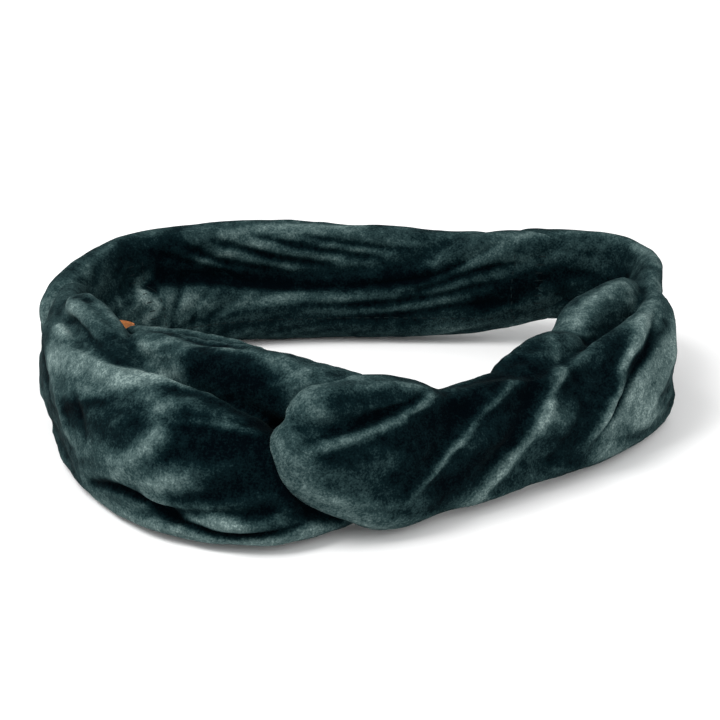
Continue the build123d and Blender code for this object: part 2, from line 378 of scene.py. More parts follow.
RIGHT_FOLDS = [
    (OUTSIDE, [(-8, 34.5), (-2, 36.5), (8, 37.5), (20, 39.5), (31, 42), (42, 45)], 1.3, -1.6),
    (OUTSIDE, [(-8, 32), (2, 34), (14, 35.5), (26, 38), (38, 42)], 1.4, 0.9),
    (OUTSIDE, [(70, 42), (60, 36), (47, 31), (35, 24), (19, 12)], 1.2, 1.0),
    (OUTSIDE, [(62, 44), (48, 37), (36, 30), (22, 20)], 2.8, -1.1),
    (OUTSIDE, [(86, 42), (82, 36), (76, 31), (64, 21), (49, 9), (42, 4)], 2.4, 1.1),
    (OUTSIDE, [(74, 42), (68, 33), (56, 22), (42, 11)], 3.0, -1.2),
    (OUTSIDE, [(84, 42), (88, 30), (80, 18), (66, 6)], 3.6, -1.2),
    (OUTSIDE, [(136, 46), (126, 42), (117, 37), (108, 32), (98, 24), (86, 12)], 2.2, 2.0),
    (OUTSIDE, [(136, 42), (124, 37), (114, 32), (104, 25), (94, 15)], 1.8, -2.2),
    (OUTSIDE, [(150, 40), (138, 32), (124, 22), (108, 10)], 3.0, 1.3),
    (OUTSIDE, [(160, 36), (146, 26), (130, 14), (118, 5)], 2.4, -0.8),
    (OUTSIDE, [(215, 36), (195, 33), (172, 26), (150, 14)], 3.0, -1.4),
    (OUTSIDE, [(222, 24), (200, 22), (178, 14), (160, 7)], 3.4, 1.2),
    (INSIDE, [(225, 30), (205, 30), (180, 26), (160, 24)], 2.4, -1.5),
    (INSIDE, [(226, 20), (200, 17), (170, 13), (140, 12)], 2.8, -1.4),
    (INSIDE, [(130, 30), (105, 22), (80, 16), (50, 12)], 3.0, -1.6),
    (INSIDE, [(110, 12), (80, 7), (40, 8)], 2.4, -1.2),
    (INSIDE, [(60, 28), (40, 24), (18, 24)], 2.4, -1.4),
]
NAPE_FOLDS = [
    (INSIDE, [(12, 42), (25, 35), (40, 28), (60, 25), (85, 24), (115, 26), (135, 30)], 2.0, -2.6),
    (INSIDE, [(4, 34), (20, 31), (36, 25), (52, 20)], 1.6, -1.5),
    (INSIDE, [(2, 28), (20, 25), (40, 20), (66, 17), (90, 17)], 1.5, -1.4),
    (INSIDE, [(4, 19), (26, 17), (50, 13), (84, 10)], 1.6, -1.4),
    (INSIDE, [(44, 36), (68, 39), (92, 43)], 1.5, -1.3),
    (INSIDE, [(56, 33), (82, 37), (108, 43)], 1.5, -1.6),
    (INSIDE, [(74, 30), (98, 34), (124, 42)], 1.6, -1.7),
    (INSIDE, [(94, 28), (118, 33), (138, 42)], 1.6, -1.7),
    (INSIDE, [(114, 28), (132, 33), (150, 41)], 1.6, -1.4),
    (INSIDE, [(110, 21), (125, 15), (128, 6)], 2.0, -0.5),
    (INSIDE, [(122, 26), (134, 18), (138, 5)], 1.8, -0.6),
    (INSIDE, [(134, 30), (144, 20), (148, 6)], 1.8, -0.8),
    (OUTSIDE, [(4, 34), (40, 36), (80, 34), (120, 32), (150, 34)], 2.2, -1.6),
    (OUTSIDE, [(2, 22), (40, 20), (90, 22), (150, 20)], 2.4, -1.2),
    (OUTSIDE, [(6, 12), (50, 11), (100, 12), (152, 12)], 2.0, -1.4),
]

# Strokes of pile tone and of painted light and shade: places that a stroke passes through, half width in mm,
# how light (or dark, below 0)
LEFT_STROKES = [
    ([(-99, -18, 34), (-85, -44, 38), (-73, -58, 41), (-62, -65, 42)], 6.5, 0.9),
    ([(-98, -10, 41), (-90, -29, 44), (-79, -46, 44), (-67, -53, 43), (-59, -53, 39)], 2.2, 0.5),
    ([(-95, -30, 27), (-91, -43, 27), (-80, -56, 33), (-65, -64, 40), (-55, -67, 42)], 2.4, -0.9),
    ([(-89, -46, 25), (-77, -62, 29), (-67, -71, 34)], 5, -0.6),
    ([(-73, -71, 20), (-64, -78, 27), (-58, -79, 33), (-56, -75, 38)], 4, 0.7),
    ([(-52, -78, 37), (-41, -82, 33), (-31, -85, 30), (-26, -86, 25)], 7, -0.9),
    ([(-62, -80, 17), (-49, -86, 22)], 4, 0.3),
    ([(-44, -86, 25), (-34, -89, 21), (-24, -90, 16)], 7, -0.5),
    ([(-88, -46, 20), (-82, -57, 21), (-75, -66, 18)], 7, 0.35),
    ([(-63, -77, 14), (-52, -84, 10), (-38, -89, 8)], 2, 0.5),
    ([(-83, -56, 5), (-68, -72, 5), (-50, -85, 4), (-35, -90, 3), (-10, -86, 6)], 5, 0.6),
    ([(-91, -11, 49), (-85, -17, 52), (-78, -28, 51), (-74, -35, 49)], 3, 0.4),
    ([(-97, -3, 43), (-93, -13, 46), (-88, -24, 47)], 5, 0.35),
    ([(-77, -38, 47), (-71, -47, 43)], 4, -0.6),
    ([(-66, -44, 44), (-61, -51, 40), (-54, -54, 40)], 6, 0.8),
    ([(-60, -45, 48), (-46, -52, 50), (-36, -57, 51), (-26, -64, 50), (-16, -70, 47)], 1.8, 0.6),
    ([(-46, -57, 45), (-36, -64, 45), (-27, -70, 40), (-24, -72, 33)], 6, -1.2),
    ([(-50, -66, 41), (-39, -72, 39), (-29, -77, 34)], 3, -0.7),
    ([(-58, -74, 39), (-53, -78, 37), (-46, -79, 37), (-38, -80, 36), (-26, -80, 33)], 1.2, 0.5),
    ([(-25, -80, 32), (-21, -83, 27)], 5, -1.0),
    # painted shade in the dark gap between the knot and the left strand
    ([(-22, -84, 24), (-19, -87, 17), (-13, -88, 12), (-6, -86, 8), (4, -82, 6)], 3, -1.3),
    ([(-25, -91, 11), (-32, -90, 12)], 3, -0.6),
    # painted sheen along the band's left outer edge
    ([(-109, 30, 34), (-110, 14, 28)], 2.5, 0.9),
]
RIGHT_STROKES = [
    ([(60, -24, 42), (63, -37, 36), (60, -46, 31), (55, -53, 25)], 1.6, 0.5),
    ([(57, -50, 28), (52, -56, 21), (39, -65, 9), (33, -67, 4)], 3.2, 0.55),
    ([(50, -44, 39), (46, -50, 36), (36, -62, 31), (26, -72, 24), (12, -80, 12)], 1.0, 0.3),
    ([(43, -45, 38), (33, -58, 36), (23, -70, 31), (12, -80, 21)], 6, -1.0),
    ([(55, -42, 38), (48, -53, 29), (36, -66, 20), (24, -74, 12)], 5, -1.0),
    ([(-20, -81, 30), (-17, -86, 24), (-12, -87, 18), (-3, -85, 12), (6, -79, 6)], 5, 0.7),
    ([(-17, -84, 31), (-10, -85, 34), (-2, -83, 34), (9, -78, 36), (20, -72, 37), (33, -61, 41)], 0.9, 0.35),
    ([(-9, -86, 30), (1, -84, 30), (12, -78, 31), (22, -71, 33)], 3.2, -0.6),
    ([(-21, -79, 38), (-18, -79, 43), (-12, -75, 47), (-3, -69, 48), (7, -67, 48), (17, -66, 45)], 3.5, 0.4),
    ([(-7, -80, 43), (4, -76, 43), (15, -71, 41)], 3, -0.7),
    ([(101, -3, 33), (94, -17, 26), (86, -27, 20), (79, -34, 15)], 7.5, 1.1),
    ([(107, 20, 30), (105, 5, 22)], 5, 0.5),
    ([(103, 1, 22), (101, -6, 14), (90, -24, 13)], 5, 0.5),
    ([(101, 0, 37), (92, -15, 33), (84, -28, 31), (80, -33, 28)], 2.5, -1.1),
    ([(98, -18, 6), (88, -31, 5), (75, -43, 5)], 3.5, 0.5),
    ([(78, -18, 39), (74, -34, 33), (72, -39, 23), (67, -43, 9)], 7, -0.4),
    ([(103, 24, 41), (95, -4, 38), (87, -21, 36), (83, -28, 32)], 2.5, 0.7),
    ([(70, -8, 40), (72, -1, 43), (81, 9, 45), (88, 17, 44), (91, 13, 39)], 3.5, 0.7),
    ([(81, 0, 38), (80, -20, 37), (81, -29, 31)], 4, -0.3),
    ([(50, -35, 38), (54, -24, 39)], 5, -0.5),
    ([(72, 70, 29), (85, 62, 31), (94, 56, 33)], 5, -1.2),
    ([(79, 73, 41), (92, 64, 42)], 3, 0.3),
    ([(100, 62, 44), (105, 50, 43)], 3, 0.7),
]
NAPE_STROKES = [
    ([(-74, 69, 31), (-50, 76, 27), (-33, 77, 24), (1, 75, 26), (25, 75, 28)], 3, -1.1),
    ([(-93, 55, 42), (-74, 69, 39), (-66, 72, 35)], 8, -0.6),
    ([(-51, 78, 42), (-33, 83, 44), (0, 88, 43)], 2.5, 0.7),
    ([(-60, 74, 33), (-41, 77, 38), (-20, 82, 42), (2, 85, 42)], 2, 0.5),
    ([(-28, 78, 31), (1, 79, 36), (20, 80, 40)], 1.8, 0.45),
    # painted sheen along the band's left outer edge
    ([(-104, 50, 40), (-109, 30, 34), (-110, 14, 28)], 2.5, 0.9),
    ([(-78, 64, 31), (-81, 61, 29), (-78, 56, 26), (-75, 56, 24), (-74, 55, 21), (-77, 52, 18)], 2.2, 1.3),
    ([(-77, 64, 28), (-76, 61, 27)], 2, -1.2),
    ([(-85, 55, 32), (-87, 51, 30), (-86, 48, 26)], 1.6, 0.5),
    ([(-90, 62, 44), (-95, 50, 43), (-97, 40, 41)], 1.8, 0.5),
    ([(-70, 60, 23), (-65, 64, 23), (-60, 66, 21)], 4, 0.5),
    ([(-54, 67, 18), (-41, 71, 19), (-26, 74, 20), (-11, 76, 21)], 2.4, 0.5),
    ([(-58, 65, 13), (-45, 69, 15), (-30, 73, 16), (-11, 75, 16), (10, 75, 16)], 1.3, -0.7),
    ([(-50, 68, 9), (-20, 71, 9), (15, 72, 10), (38, 73, 13)], 4, -0.35),
    ([(46, 71, 18), (55, 71, 22), (62, 71, 25), (72, 70, 29)], 5, -1.2),
    ([(41, 75, 35), (55, 76, 40), (64, 78, 43), (79, 78, 45)], 2, 0.8),
    ([(51, 73, 32), (68, 72, 36), (75, 70, 37)], 2.5, 0.4),
]


def smooth_rows(rows, spacing):
    """Catmull-Rom curve through rows whose first two or three columns are a place, evenly resampled."""
    rows = np.array(rows, float)
    padded = np.vstack([2 * rows[0] - rows[1], rows, 2 * rows[-1] - rows[-2]])
    fine = []
    for before, start, end, after in zip(padded, padded[1:], padded[2:], padded[3:]):
        for t in np.linspace(0, 1, CURVE_STEPS, endpoint=False):
            fine.append(
                0.5
                * (
                    2 * start
                    + (end - before) * t
                    + (2 * before - 5 * start + 4 * end - after) * t**2
                    + (3 * start - before - 3 * end + after) * t**3
                )
            )
    fine.append(rows[-1])
    fine = np.array(fine)
    place = fine[:, : min(3, rows.shape[1])]
    along = np.concatenate([[0], np.cumsum(np.linalg.norm(np.diff(place, axis=0), axis=1))])
    count = max(3, int(along[-1] / spacing) + 1)
    even = np.linspace(0, along[-1], count)
    columns = [np.interp(even, along, fine[:, c]) for c in range(fine.shape[1])]
    return np.stack(columns, axis=1), even


def unit(vectors):
    """Rows scaled to length one."""
    return vectors / np.maximum(np.linalg.norm(vectors, axis=-1, keepdims=True), 1e-9)


def tube_faces(rings, sides):
    """Faces of a tube with closed ends, whose vertices are listed ring by ring."""
    faces = []
    for low in range(0, (rings - 1) * sides, sides):
        for i in range(sides):
            j = (i + 1) % sides
            faces.append((low + i, low + j, low + sides + j, low + sides + i))
    faces.append(tuple(reversed(range(sides))))
    faces.append(tuple(range((rings - 1) * sides, rings * sides)))
    return faces


def joined(tubes):
    """Vertices and faces of several tubes in one list each."""
    verts, faces, first = [], [], 0
    for tube_verts, faces_of_tube in tubes:
        verts.append(tube_verts)
        faces += [tuple(first + i for i in face) for face in faces_of_tube]
        first += len(tube_verts)
    return np.vstack(verts), faces


def roll(stations):
    """Closed tube of rounded oval section through stations, as vertices and faces."""
    rows, along = smooth_rows(stations, RING_SPACING)
    centres = rows[:, :3]
    forward = unit(np.gradient(centres, axis=0))
    level_forward = unit(forward * (1, 1, CLIMB_SHARE))
    side = unit(np.cross(level_forward, (0, 0, 1)))
    up = np.cross(side, forward)
    lean = np.radians(rows[:, 5:6])
    inward = -np.sign(np.sum(side * centres * (1, 1, 0), axis=1, keepdims=True)) * side
    up_leaning = up * np.cos(lean) + inward * np.sin(lean)
    side_leaning = np.cross(forward, up_leaning)
    end_radius = END_RADIUS * rows[:, 3:5].mean(axis=1)
    from_end = np.minimum(along, along[-1] - along)
    closing = np.sqrt(np.clip(1 - np.clip(1 - from_end / end_radius, 0, 1) ** 2, SMALLEST_END, 1))
    angles = np.linspace(0, 2 * pi, SECTION_POINTS, endpoint=False)
    across = np.sign(np.cos(angles)) * np.abs(np.cos(angles)) ** SECTION_POWER
    upward = np.sign(np.sin(angles)) * np.abs(np.sin(angles)) ** SECTION_POWER
    verts = (
        centres[:, None]
        + side_leaning[:, None] * (rows[:, 3] * closing)[:, None, None] * across[None, :, None]
        + up_leaning[:, None] * (rows[:, 4] * closing)[:, None, None] * upward[None, :, None]
    ).reshape(-1, 3)
    return verts, tube_faces(len(rows), SECTION_POINTS)


def new_object(name, verts, faces):
    """Object in the scene from vertices in metres."""
    mesh = bpy.data.meshes.new(name)
    mesh.from_pydata([tuple(v) for v in verts], [], faces)
    mesh.update()
    piece = bpy.data.objects.new(name, mesh)
    bpy.context.scene.collection.objects.link(piece)
    return piece


def apply_modifiers(piece):
    """Bakes the piece's modifiers into its mesh."""
    graph = bpy.context.evaluated_depsgraph_get()
    graph.update()
    mesh = bpy.data.meshes.new_from_object(piece.evaluated_get(graph))
    piece.modifiers.clear()
    old = piece.data
    piece.data = mesh
    bpy.data.meshes.remove(old)


def fused(name, rolls, smoothing):
    """One skin round a bundle of rolls."""
    verts, faces = joined(roll(stations) for stations in rolls.values())
    piece = new_object(name, verts * MM, faces)
    remesh = piece.modifiers.new("fuse", "REMESH")
    remesh.mode = "VOXEL"
    remesh.voxel_size = VOXEL * MM
    relax = piece.modifiers.new("soften", "SMOOTH")
    relax.factor = 0.5
    relax.iterations = smoothing
    apply_modifiers(piece)
    return piece


def coords(mesh):
    """Vertex places of a mesh, in mm."""
    flat = np.empty(len(mesh.vertices) * 3)
    mesh.vertices.foreach_get("co", flat)
    return flat.reshape(-1, 3) / MM


def set_coords(mesh, places):
    """Moves a mesh's vertices to places in mm."""
    mesh.vertices.foreach_set("co", (places * MM).ravel())
    mesh.update()


def normals(mesh):
    """Vertex normals of a mesh."""
    flat = np.empty(len(mesh.vertices) * 3)
    mesh.vertex_normals.foreach_get("vector", flat)
    return flat.reshape(-1, 3)


def neighbour_mean(mesh, values, rounds):
    """Values averaged over neighbouring vertices, several times."""
    pairs = np.empty(len(mesh.edges) * 2, int)
    mesh.edges.foreach_get("vertices", pairs)
    a, b = pairs.reshape(-1, 2).T
    count = np.bincount(np.concatenate([a, b]), minlength=len(values)).astype(float)
    for _ in range(rounds):
        columns = []
        for column in values.T if values.ndim > 1 else [values]:
            total = np.bincount(a, column[b], len(count)) + np.bincount(b, column[a], len(count))
            columns.append(total / count)
        values = np.stack(columns, axis=1) if values.ndim > 1 else columns[0]
    return values


def settle_as_cloth(piece, frames, pressure, growth, cap):
    """Cloth with a little pressure and a little too much fabric, so that it buckles into soft crumples."""
    scene = bpy.context.scene
    start = coords(piece.data)
    cloth = piece.modifiers.new("cloth", "CLOTH")
    cloth.settings.quality = 6
    cloth.settings.mass = 0.02
    cloth.settings.tension_stiffness = 12
    cloth.settings.compression_stiffness = 12
    cloth.settings.shear_stiffness = 4
    cloth.settings.bending_stiffness = 0.02
    cloth.settings.air_damping = 4
    cloth.settings.shrink_min = -growth
    cloth.settings.use_pressure = True
    cloth.settings.uniform_pressure_force = pressure
    cloth.settings.effector_weights.gravity = 0
    cloth.collision_settings.use_collision = False
    cloth.point_cache.frame_start = 1
    cloth.point_cache.frame_end = frames
    for step in range(1, frames + 1):
        scene.frame_set(step)
    apply_modifiers(piece)
    scene.frame_set(1)
    moved = coords(piece.data) - start
    length = np.linalg.norm(moved, axis=1, keepdims=True)
    moved *= np.minimum(1, cap / np.maximum(length, 1e-6))
    set_coords(piece.data, start + neighbour_mean(piece.data, moved, rounds=1))


def subdivide(piece):
    """One round of subdivision, baked in."""
    subdivision = piece.modifiers.new("subdivide", "SUBSURF")
    subdivision.levels = 1
    apply_modifiers(piece)


def band_places(places, guide):
    """Distance along a guide, height, and distance outwards from the guide for each place."""
    line, along = smooth_rows(guide, GUIDE_SPACING)
    forward = unit(np.gradient(line, axis=0))
    outward = np.stack([forward[:, 1], -forward[:, 0]], axis=1)
    outward *= np.sign(np.sum(outward * line, axis=1, keepdims=True))
    nearest = np.empty(len(places), int)
    for start in range(0, len(places), CHUNK):
        part = places[start : start + CHUNK, None, :2] - line[None]
        nearest[start : start + CHUNK] = np.argmin(np.sum(part**2, axis=2), axis=1)
    offset = places[:, :2] - line[nearest]
    out = np.sum(offset * outward[nearest], axis=1)
    ahead = np.sum(offset * forward[nearest], axis=1)
    return along[nearest] + ahead, places[:, 2], out


def surface_side(out, side):
    """How much a place lies on one side of the band, from 0 to 1."""
    return np.clip((out * side + SIDE_OVERLAP) / SIDE_BLEND, 0, 1)


def fold_rise(places, s, z, out, folds):
    """How far the folds lift or sink each place, in mm."""
    surface = np.stack([s, z], axis=1)
    rise = np.zeros(len(s))
    for side, points, width, height in folds:
        line, along = smooth_rows(points, FOLD_SPACING)
        at = places if side == ON_TOP else surface
        reach = FOLD_REACH * width
        near = np.all((at > line.min(axis=0) - reach) & (at < line.max(axis=0) + reach), axis=1)
        index = np.flatnonzero(near & ((side == ON_TOP) | (surface_side(out, side) > 0)))
        if not len(index):
            continue
        gap = np.sum((at[index, None] - line[None]) ** 2, axis=2)
        closest = np.argmin(gap, axis=1)
        distance = np.sqrt(gap[np.arange(len(index)), closest])
        share = along[closest] / along[-1]
        fade = np.clip(np.minimum(share, 1 - share) / FOLD_FADE, 0, 1) ** FADE_POWER
        facing = 1 if side == ON_TOP else surface_side(out[index], side)
        power = RIDGE_POWER if height > 0 else CREASE_POWER
        shape = np.exp(-((distance / width) ** power))
        rise[index] += height * shape * (FOLD_END + (1 - FOLD_END) * fade) * facing
    return rise


def crumples(s, z, out, seed, size):
    """Soft lengthwise unevenness of a size, from -1 to 1."""
    along_scale, across_scale, slant = size
    lift = z + slant * s + CRUMPLE_SPREAD * np.abs(out)
    return np.array(
        [
            noise.noise(Vector((a / along_scale, b / across_scale, seed + c / CRUMPLE_DEPTH)))
            for a, b, c in zip(s, lift, out)
        ]
    )


def stroked_tone_and_shade(places, strokes):
    """How far strokes make each place lighter or darker: pile tone, painted highlights and painted shade."""
    tone = np.zeros(len(places))
    for points, width, strength in strokes:
        line, _ = smooth_rows(points, STROKE_SPACING)
        reach = STROKE_REACH * width
        near = np.all((places > line.min(axis=0) - reach) & (places < line.max(axis=0) + reach), axis=1)
        index = np.flatnonzero(near)
        if len(index):
            gap = np.min(np.sum((places[index, None] - line[None]) ** 2, axis=2), axis=1)
            tone[index] += strength * np.exp(-gap / width**2)
    return tone


def soft_floor(places):
    """Presses what is near the floor flat against it."""
    low = places[:, 2] < FLOOR_NEAR
    depth = FLOOR_NEAR - FLOOR_GAP
    places[low, 2] = FLOOR_GAP + depth * np.exp((places[low, 2] - FLOOR_NEAR) / depth)
    return places


def paint_pile_tone_and_shade(piece, folds_rise, patches, strokes):
    """Stores the pile's tone with painted light: painted highlights on ridges, painted shade in creases and
    hollows, crushed patches of pile tone between, and the strokes.
    """
    mesh = piece.data
    places, out = coords(mesh), normals(mesh)
    fine = neighbour_mean(mesh, places, FINE_ROUNDS)
    broad = neighbour_mean(mesh, places, BROAD_ROUNDS)
    fine_hollow = neighbour_mean(mesh, np.sum((fine - places) * out, axis=1), rounds=2)
    broad_hollow = neighbour_mean(mesh, np.sum((broad - places) * out, axis=1), rounds=3)
    # painted shade in hollows and creases, painted highlight on fold ridges, crushed patches of real pile
    # tone, and strokes of pile tone with painted light and shade
    lean = FINE_HOLLOW_PAINTED_SHADE * fine_hollow + BROAD_HOLLOW_PAINTED_SHADE * broad_hollow
    lean += FOLD_PAINTED_LIGHT_AND_SHADE * folds_rise + PATCH_LEAN * patches
    lean += stroked_tone_and_shade(places, strokes) + BASE_LEAN
    layer = mesh.attributes.new("pile_tone_and_painted_light", "FLOAT", "POINT")
    layer.data.foreach_set("value", (0.5 + TONE_AND_SHADE_SWING * np.tanh(lean)).astype(np.float32))


def velvet_piece(name, rolls, guide, folds, strokes, seed):
    """A velvet skin with its folds, crumples, and its pile tone with painted shade in hollows and painted
    highlights on ridges.
    """
    piece = fused(name, rolls, smoothing=3)
    settle_as_cloth(piece, frames=16, pressure=0.3, growth=0.06, cap=2.0)
    subdivide(piece)
    mesh = piece.data
    s, z, out = band_places(coords(mesh), guide)
    folds_rise = fold_rise(coords(mesh), s, z, out, folds)
    rise = folds_rise + PLEAT_RISE * crumples(s, z, out, seed, PLEATS)
    rise += WRINKLE_RISE * crumples(s, z, out, seed + WRINKLE_SEED, WRINKLES)
    set_coords(mesh, soft_floor(coords(mesh) + normals(mesh) * rise[:, None]))
    patches = crumples(s, z, out, seed + PATCH_SEED, CRUSHED_PATCHES)
    paint_pile_tone_and_shade(piece, folds_rise, patches, strokes)
    mesh.shade_smooth()
    return piece


def node_of(tree, kind, **values):
    """New shader node with its plain values set."""
    node = tree.nodes.new(kind)
    for key, value in values.items():
        if hasattr(node, key):
            setattr(node, key, value)
        else:
            node.inputs[key.replace("_", " ")].default_value = value
    return node


def base_material(name):
    """Material with an empty tree, its principled shader and its object coordinates."""
    material = bpy.data.materials.new(name)
    material.use_nodes = True
    tree = material.node_tree
    shader = tree.nodes["Principled BSDF"]
    place = tree.nodes.new("ShaderNodeTexCoord").outputs["Object"]
    return material, tree, shader, place


def ramp_of(tree, value, stops):
    """Colour ramp over a value."""
    ramp = tree.nodes.new("ShaderNodeValToRGB")
    tree.links.new(value, ramp.inputs["Fac"])
    while len(ramp.color_ramp.elements) < len(stops):
        ramp.color_ramp.elements.new(0.5)
    for element, (position, colour) in zip(ramp.color_ramp.elements, stops):
        element.position = position
        element.color = (*colour, 1)
    return ramp.outputs["Color"]


def sum_of(tree, a, b, factor):
    """a + b * factor"""
    node = tree.nodes.new("ShaderNodeMath")
    node.operation = "MULTIPLY_ADD"
    tree.links.new(b, node.inputs[0])
    node.inputs[1].default_value = factor
    tree.links.new(a, node.inputs[2])
    return node.outputs[0]


def add_bump(tree, shader, height, strength, distance):
    """Bumps a shader's normal by a height."""
    bump = node_of(tree, "ShaderNodeBump", Strength=strength, Distance=distance)
    tree.links.new(height, bump.inputs["Height"])
    tree.links.new(bump.outputs["Normal"], shader.inputs["Normal"])


def velvet_material():
    """Crushed velvet: dark green ground, pale and dark from the painted tone (painted highlights on ridges,
    painted shade in hollows, and the pile's own tone), sparkling grain.
    """
    material, tree, shader, place = base_material("velvet")
    pile_tone_and_painted_light = tree.nodes.new("ShaderNodeAttribute")
    pile_tone_and_painted_light.attribute_name = "pile_tone_and_painted_light"
    patches = node_of(tree, "ShaderNodeTexNoise", Scale=70, Detail=3, Roughness=0.6, Distortion=0.8)
    mottle = node_of(tree, "ShaderNodeTexNoise", Scale=330, Detail=3, Roughness=0.65)
    grain = node_of(tree, "ShaderNodeTexNoise", Scale=1500, Detail=2, Roughness=0.7)
    for texture in (patches, mottle, grain):
        tree.links.new(place, texture.inputs["Vector"])
    value = pile_tone_and_painted_light.outputs["Fac"]
    for texture, factor in ((patches, 0.35), (mottle, 0.5), (grain, 0.65)):
        centred = node_of(tree, "ShaderNodeMath", operation="SUBTRACT")
        tree.links.new(texture.outputs["Fac"], centred.inputs[0])
        centred.inputs[1].default_value = 0.5
        value = sum_of(tree, value, centred.outputs[0], factor)
    # colour ramp over the painted tone: painted shade and highlights with the pile's random tone
    colour = ramp_of(
        tree,
        value,
        [
            (0.10, (0.0001, 0.0012, 0.0022)),
            (0.38, (0.0024, 0.0090, 0.0108)),
            (0.62, (0.0200, 0.0410, 0.0425)),
            (0.85, (0.0800, 0.1220, 0.1200)),
            (1.00, (0.1900, 0.2550, 0.2450)),
        ],
    )
    tree.links.new(colour, shader.inputs["Base Color"])
    shader.inputs["Roughness"].default_value = 0.85
    shader.inputs["Specular IOR Level"].default_value = 0.01
    shader.inputs["Sheen Weight"].default_value = 0.015
    shader.inputs["Sheen Roughness"].default_value = 0.45
    shader.inputs["Sheen Tint"].default_value = (0.45, 0.62, 0.60, 1)
    pile = sum_of(tree, grain.outputs["Fac"], mottle.outputs["Fac"], 0.6)
    add_bump(tree, shader, pile, strength=0.5, distance=0.0005)
    return material


def thread_material():
    """Twisted sewing thread."""
    material, tree, shader, place = base_material("thread")
    twist = node_of(tree, "ShaderNodeTexWave", Scale=900, Distortion=0.6)
    tree.links.new(place, twist.inputs["Vector"])
    colour = ramp_of(
        tree, twist.outputs["Fac"], [(0.2, (0.001, 0.004, 0.005)), (0.9, (0.006, 0.015, 0.016))]
    )
    tree.links.new(colour, shader.inputs["Base Color"])
    shader.inputs["Roughness"].default_value = 0.8
    shader.inputs["Specular IOR Level"].default_value = 0.1
    add_bump(tree, shader, twist.outputs["Fac"], strength=0.4, distance=0.0002)
    return material


def leather_material():
    """Smooth tan leather with a fine grain and a mottled tone."""
    material, tree, shader, place = base_material("label_leather")
    grain = node_of(tree, "ShaderNodeTexVoronoi", Scale=1400)
    tone = node_of(tree, "ShaderNodeTexNoise", Scale=160, Detail=4)
    for texture in (grain, tone):
        tree.links.new(place, texture.inputs["Vector"])
    value = sum_of(tree, tone.outputs["Fac"], grain.outputs["Distance"], 0.25)
    colour = ramp_of(
        tree, value, [(0.3, (0.30, 0.090, 0.014)), (0.6, (0.48, 0.155, 0.024)), (0.9, (0.58, 0.215, 0.045))]
    )
    tree.links.new(colour, shader.inputs["Base Color"])
    shader.inputs["Roughness"].default_value = 0.6
    add_bump(tree, shader, grain.outputs["Distance"], strength=0.35, distance=0.0002)
    return material


def elastic_material():
    """Black covered elastic with fine weave across its cords."""
    material, tree, shader, place = base_material("elastic")
    weave = node_of(tree, "ShaderNodeTexVoronoi", Scale=1800)
    wear = node_of(tree, "ShaderNodeTexNoise", Scale=120, Detail=4)
    for texture in (weave, wear):
        tree.links.new(place, texture.inputs["Vector"])
    value = sum_of(tree, wear.outputs["Fac"], weave.outputs["Distance"], 0.4)
    colour = ramp_of(tree, value, [(0.3, (0.006, 0.007, 0.008)), (0.9, (0.035, 0.038, 0.040))])
    tree.links.new(colour, shader.inputs["Base Color"])
    shader.inputs["Roughness"].default_value = 0.7
    add_bump(tree, shader, weave.outputs["Distance"], strength=0.5, distance=0.0002)
    return material


def surface_tree(pieces):
    """Search tree over the surfaces of some pieces, in metres."""
    verts, faces = [], []
    for piece in pieces:
        first = len(verts)
        verts += [vertex.co.copy() for vertex in piece.data.vertices]
        faces += [tuple(first + i for i in face.vertices) for face in piece.data.polygons]
    return BVHTree.FromPolygons(verts, faces)


def thread_tube(places, radius):
    """Round thread through places in mm, as vertices and faces; its ends are closed."""
    forward = unit(np.gradient(places, axis=0))
    side = unit(np.cross(forward, STEEP_LINE))
    across = np.cross(forward, side)
    share = np.linspace(-1, 1, len(places))[:, None, None]
    girth = radius * np.sqrt(1 - THREAD_TAPER * share**TAPER_POWER)
    angles = np.linspace(0, 2 * pi, THREAD_SIDES, endpoint=False)[None, :, None]
    verts = places[:, None] + girth * (np.cos(angles) * side[:, None] + np.sin(angles) * across[:, None])
    return verts.reshape(-1, 3), tube_faces(len(places), THREAD_SIDES)


def threads_object(name, runs):
    """One object from many threads, each a run of places in mm."""
    verts, faces = joined(thread_tube(np.array(places), THREAD_RADIUS) for places in runs)
    piece = new_object(name, verts * MM, faces)
    piece.data.shade_smooth()
    return piece


def islands(node):
    """Centre and half-length vector of each separate solid of a CAD node, in mm."""
    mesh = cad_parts[node].data
    places = coords(mesh)
    group = np.arange(len(places))
    rounded = {}
    for i, place in enumerate(np.round(places, 3)):
        group[i] = rounded.setdefault(tuple(place), i)
    pairs = np.array([edge.vertices for edge in mesh.edges])
    changed = True
    while changed:
        lowest = np.minimum(group[pairs[:, 0]], group[pairs[:, 1]])
        before = group.copy()
        np.minimum.at(group, pairs[:, 0], lowest)
        np.minimum.at(group, pairs[:, 1], lowest)
        group = group[group]
        changed = not np.array_equal(before, group)
    found = []
    for number in np.unique(group):
        part = places[group == number]
        centre = (part.min(axis=0) + part.max(axis=0)) / 2
        axis = np.linalg.svd(part - part.mean(axis=0))[2][0]
        reach = np.abs((part - centre) @ axis).max()
        found.append((centre, axis * reach))
    return found


def on_surface(tree, place, inward):
    """Point and normal where a line from the wearer's side first meets the velvet, or None."""
    start = Vector(place * MM) + Vector(inward) * SEARCH_START
    point, normal, _, _ = tree.ray_cast(start, -Vector(inward), 2 * SEARCH_START)
    if point is None:
        return None
    return np.array(point) / MM, np.array(normal)


def laid_stitch(tree, places, inward):
    """Thread pressed into the pile, deepest at both ends."""
    run = []
    for share, place in zip(np.linspace(-1, 1, len(places)), places):
        hit = on_surface(tree, place, inward)
        if hit is None:
            return None
        run.append(hit[0] - hit[1] * (THREAD_DEPTH + THREAD_END_DEPTH * share**END_POWER))
    return run


def stitches_from(node, name, tree):
    """The CAD node's stitches, laid on the velvet's surface."""
    runs = []
    for centre, half in islands(node):
        inward = unit(np.array([-centre[0], -centre[1], 0.0]))
        places = [centre + half * share for share in np.linspace(-1, 1, THREAD_STEPS)]
        run = laid_stitch(tree, places, inward)
        if run:
            runs.append(run)
    return threads_object(name, runs)


